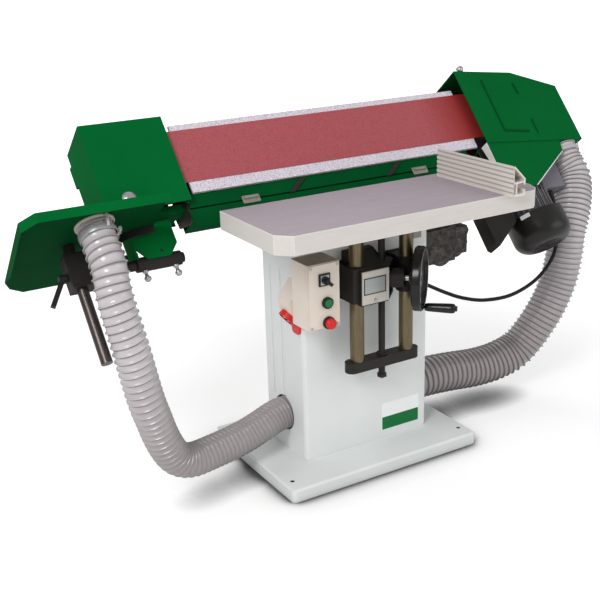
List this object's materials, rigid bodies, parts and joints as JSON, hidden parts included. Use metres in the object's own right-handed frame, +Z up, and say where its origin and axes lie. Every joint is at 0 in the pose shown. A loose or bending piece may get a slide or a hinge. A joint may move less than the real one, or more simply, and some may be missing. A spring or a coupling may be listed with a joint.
{
  "type": "edge sander",
  "caption": "Woodworking edge sander: tilting long belt head on a pedestal, lift table with fence and handwheel, contour table at the idler end, ribbed dust hoses.",
  "frame": {"origin": "centre of the four floor anchor holes, on the floor plane under the base plate", "axes": "+X along the belt towards the motor end, +Y to the back, +Z up"},
  "size_m": [1.829, 0.7021, 1.0045],
  "materials": {
    "grey_paint": "satin paint",
    "sheet_zinc": "zinc",
    "dark_iron": "rough cast",
    "small_steel": "bright",
    "black_iron": "black paint",
    "plate_grey": "satin",
    "box_beige": "satin",
    "black_plastic": "satin",
    "red_plastic": "gloss",
    "green_plastic": "gloss",
    "hose_grey": "satin",
    "cable_black": "matte",
    "green_paint": "satin paint",
    "platen_grey": "speckled",
    "abrasive": "grit",
    "motor_grey": "painted",
    "bright_steel": "turned",
    "port_cream": "satin",
    "table_grey": "ground top",
    "column_bronze": "oiled",
    "gear_brass": "cast",
    "fence_alu": "anodised"
  },
  "bodies": {
    "stand": {"base_plate": "grey_paint", "pedestal": "grey_paint", "dust_tee": "sheet_zinc", "bearing_block": "dark_iron", "tilt_casting": "dark_iron", "stand_fasteners": "small_steel", "lift_housing": "black_iron", "housing_plate": "plate_grey", "control_box": "box_beige", "box_lid": "box_beige", "switch_bezels": "black_plastic", "inlet_housing": "box_beige", "inlet_collar": "red_plastic", "left_hose": "hose_grey", "right_hose": "hose_grey", "motor_cable": "cable_black"},
    "head": {"head_frame": "green_paint", "platen": "platen_grey", "abrasive_belt": "abrasive", "motor_body": "motor_grey", "terminal_box": "plate_grey", "fan_cover": "black_plastic", "hood": "green_paint", "idler_arm": "green_paint", "contour_bracket": "green_paint", "brake_box": "black_iron", "end_plate": "black_iron", "tilt_shaft": "bright_steel"},
    "drive_rotor": {"motor_shaft": "bright_steel", "drive_drum": "dark_iron", "cooling_fan": "black_plastic"},
    "idler_slide": {"idler_carriage": "bright_steel"},
    "idler_roller": {"idler_drum": "dark_iron", "idler_bearings": "bright_steel"},
    "idler_door": {"idler_cover": "green_paint"},
    "door_knob": {"door_knob": "small_steel"},
    "hood_knob": {"hood_knob": "bright_steel"},
    "contour_arm": {"contour_bar": "black_iron", "clamp_block": "black_iron"},
    "contour_table": {"contour_top": "green_paint", "contour_post": "bright_steel", "contour_port": "port_cream"},
    "clamp_lever": {"clamp_lever": "black_plastic"},
    "thumb_screw_a": {"thumb_screw_a": "small_steel"},
    "thumb_screw_b": {"thumb_screw_b": "small_steel"},
    "tilt_lever": {"tilt_lever": "black_plastic"},
    "lift_table": {"table_top": "table_grey", "columns": "column_bronze", "cross_bar": "black_iron", "lift_spindle": "black_iron", "fence_carrier": "fence_alu"},
    "gear_nut": {"gear_nut": "gear_brass"},
    "handwheel": {"handwheel": "black_iron", "wheel_shaft": "bright_steel"},
    "crank_handle": {"crank_handle": "black_plastic"},
    "fence": {"fence": "fence_alu"},
    "fence_knob": {"fence_knob": "black_plastic"},
    "selector": {"selector": "black_plastic"},
    "start_button": {"start_button": "green_plastic"},
    "stop_button": {"stop_button": "red_plastic"}
  },
  "joints": [
    {"name": "head_tilt", "type": "hinge", "parent": "stand", "child": "head", "pos_m": [0, 0.02, 0.677], "axis": [-1, 0, 0], "range_deg": [-41, 49], "deforming": ["left_hose", "right_hose", "motor_cable"]},
    {"name": "drive_spin", "type": "hinge", "parent": "head", "child": "drive_rotor", "pos_m": [0.653, 0.06974, 0.70581], "axis": [0, 0.6561, 0.7547], "continuous": true},
    {"name": "idler_tension", "type": "slide", "parent": "head", "child": "idler_slide", "axis": [1, 0, 0], "range_m": [0, 0.008]},
    {"name": "idler_spin", "type": "hinge", "parent": "idler_slide", "child": "idler_roller", "pos_m": [-0.558, 0.05087, 0.72221], "axis": [0, 0.6561, 0.7547], "continuous": true},
    {"name": "door_swing", "type": "hinge", "parent": "head", "child": "idler_door", "pos_m": [-0.622, 0.11313, 0.66809], "axis": [0, -0.6561, -0.7547], "range_deg": [0, 100]},
    {"name": "door_knob_turn", "type": "hinge", "parent": "idler_door", "child": "door_knob", "pos_m": [-0.579, 0.03424, 0.80292], "axis": [0, -0.7547, 0.6561], "range_deg": [0, 90]},
    {"name": "hood_knob_turn", "type": "hinge", "parent": "head", "child": "hood_knob", "pos_m": [0.556, 0.18867, 0.98667], "axis": [0, 0.6561, 0.7547], "range_deg": [0, 360]},
    {"name": "contour_slide", "type": "slide", "parent": "head", "child": "contour_arm", "axis": [-1, 0, 0], "range_m": [0, 0.04], "deforming": ["left_hose"]},
    {"name": "contour_lift", "type": "slide", "parent": "contour_arm", "child": "contour_table", "axis": [0, 0.6561, 0.7547], "range_m": [-0.02, 0.008], "deforming": ["left_hose"]},
    {"name": "clamp_turn", "type": "hinge", "parent": "contour_arm", "child": "clamp_lever", "pos_m": [-0.768, 0.01878, 0.63881], "axis": [-1, 0, 0], "range_deg": [-60, 60]},
    {"name": "thumb_a_turn", "type": "hinge", "parent": "head", "child": "thumb_screw_a", "pos_m": [-0.566, -0.00484, 0.61164], "axis": [0, 0.6561, 0.7547], "range_deg": [0, 360]},
    {"name": "thumb_b_turn", "type": "hinge", "parent": "head", "child": "thumb_screw_b", "pos_m": [-0.484, -0.00484, 0.61164], "axis": [0, 0.6561, 0.7547], "range_deg": [0, 360]},
    {"name": "tilt_lock", "type": "hinge", "parent": "stand", "child": "tilt_lever", "pos_m": [0.284, 0.051, 0.56], "axis": [0, 1, 0], "range_deg": [-28, 28]},
    {"name": "wheel_turn", "type": "hinge", "parent": "stand", "child": "handwheel", "pos_m": [0.0175, -0.165, 0.542], "axis": [0.7071, -0.7071, 0], "range_deg": [-3600, 10080]},
    {"name": "table_lift", "type": "slide", "parent": "stand", "child": "lift_table", "axis": [0, 0, 1], "range_m": [-0.0502, 0.1402]},
    {"name": "gear_turn", "type": "hinge", "parent": "stand", "child": "gear_nut", "pos_m": [0.0175, -0.165, 0.51], "axis": [0, 0, 1], "range_deg": [-3610, 10090]},
    {"name": "crank_spin", "type": "hinge", "parent": "handwheel", "child": "crank_handle", "pos_m": [0.0175, -0.165, 0.4644], "axis": [0.7071, -0.7071, 0], "continuous": true},
    {"name": "fence_slide", "type": "slide", "parent": "lift_table", "child": "fence", "axis": [0, 1, 0], "range_m": [-0.08, 0.012]},
    {"name": "fence_knob_turn", "type": "hinge", "parent": "lift_table", "child": "fence_knob", "pos_m": [0.32, -0.23, 0.793], "axis": [1, 0, 0], "range_deg": [0, 360]},
    {"name": "selector_turn", "type": "hinge", "parent": "stand", "child": "selector", "pos_m": [-0.174, -0.195, 0.578], "axis": [0, 1, 0], "range_deg": [0, 90]},
    {"name": "start_press", "type": "slide", "parent": "stand", "child": "start_button", "axis": [0, 1, 0], "range_m": [0, 0.004], "stiffness_N_per_m": 800},
    {"name": "stop_press", "type": "slide", "parent": "stand", "child": "stop_button", "axis": [0, 1, 0], "range_m": [0, 0.004], "stiffness_N_per_m": 800}
  ],
  "couplings": [
    {"joint": "idler_spin", "follows": "drive_spin", "ratio": 1.5},
    {"joint": "table_lift", "follows": "wheel_turn", "m_per_rad": 0.00079577},
    {"joint": "gear_turn", "follows": "wheel_turn", "ratio": 1}
  ]
}
